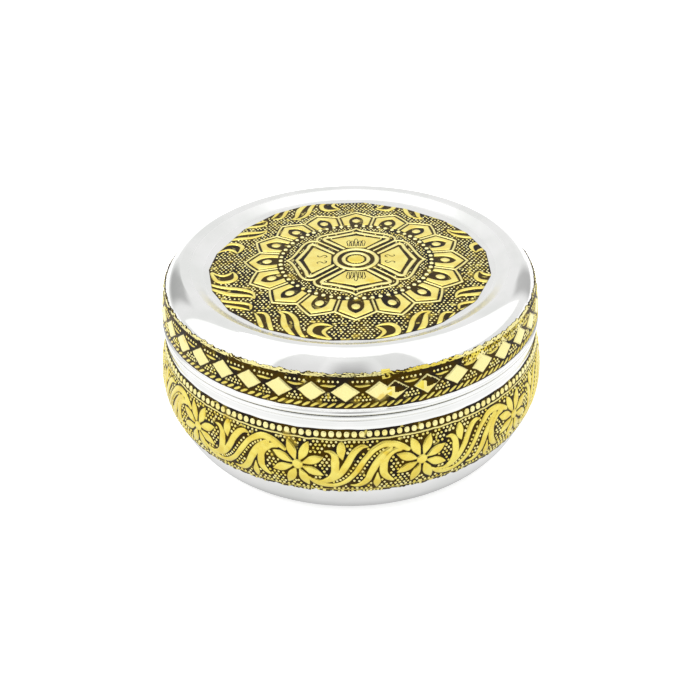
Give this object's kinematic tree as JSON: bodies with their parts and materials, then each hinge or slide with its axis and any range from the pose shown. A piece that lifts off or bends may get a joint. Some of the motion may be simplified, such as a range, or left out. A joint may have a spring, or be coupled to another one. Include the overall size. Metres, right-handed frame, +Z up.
{
  "type": "spice box",
  "caption": "Round covered steel spice box with embossed brass foil bands, a patterned lid, round cups and a small spoon inside.",
  "frame": {"origin": "middle of the flat underside of the bowl", "axes": "+Z up along the box's axis; -Y is the front, 10 degrees left of the skirt band's lapped seam"},
  "size_m": [0.183, 0.183, 0.0869],
  "materials": {
    "steel": "mirror polished stainless steel",
    "cup_steel": "bright satin stainless steel",
    "brass_foil": "embossed antique brass foil with darkened ground"
  },
  "bodies": {
    "box": {"bowl": "steel", "body_band": "brass_foil"},
    "lid": {"lid": "steel", "lid_skirt_band": "brass_foil", "lid_top_panel": "brass_foil"},
    "cup_middle": {"cup_middle": "cup_steel"},
    "cup_1": {"cup_1": "cup_steel"},
    "cup_2": {"cup_2": "cup_steel"},
    "cup_3": {"cup_3": "cup_steel"},
    "cup_4": {"cup_4": "cup_steel"},
    "cup_5": {"cup_5": "cup_steel"},
    "cup_6": {"cup_6": "cup_steel"},
    "spoon": {"spoon": "cup_steel"}
  },
  "joints": [
    {"name": "lid_lift", "type": "slide", "parent": "box", "child": "lid", "axis": [0, 0, 1], "range_m": [0, 0.2]},
    {"name": "cup_middle_lift", "type": "slide", "parent": "box", "child": "cup_middle", "axis": [0, 0, 1], "range_m": [0, 0.09]},
    {"name": "cup_1_lift", "type": "slide", "parent": "box", "child": "cup_1", "axis": [0, 0, 1], "range_m": [0, 0.09]},
    {"name": "cup_2_lift", "type": "slide", "parent": "box", "child": "cup_2", "axis": [0, 0, 1], "range_m": [0, 0.09]},
    {"name": "cup_3_lift", "type": "slide", "parent": "box", "child": "cup_3", "axis": [0, 0, 1], "range_m": [0, 0.09]},
    {"name": "cup_4_lift", "type": "slide", "parent": "box", "child": "cup_4", "axis": [0, 0, 1], "range_m": [0, 0.09]},
    {"name": "cup_5_lift", "type": "slide", "parent": "box", "child": "cup_5", "axis": [0, 0, 1], "range_m": [0, 0.09]},
    {"name": "cup_6_lift", "type": "slide", "parent": "box", "child": "cup_6", "axis": [0, 0, 1], "range_m": [0, 0.09]},
    {"name": "spoon_lift", "type": "slide", "parent": "box", "child": "spoon", "axis": [0, 0, 1], "range_m": [0, 0.124]}
  ],
  "couplings": [
    {"joint": "cup_middle_lift", "follows": "lid_lift", "ratio": 0.45},
    {"joint": "cup_1_lift", "follows": "lid_lift", "ratio": 0.45},
    {"joint": "cup_2_lift", "follows": "lid_lift", "ratio": 0.45},
    {"joint": "cup_3_lift", "follows": "lid_lift", "ratio": 0.45},
    {"joint": "cup_4_lift", "follows": "lid_lift", "ratio": 0.45},
    {"joint": "cup_5_lift", "follows": "lid_lift", "ratio": 0.45},
    {"joint": "cup_6_lift", "follows": "lid_lift", "ratio": 0.45},
    {"joint": "spoon_lift", "follows": "lid_lift", "ratio": 0.62}
  ]
}
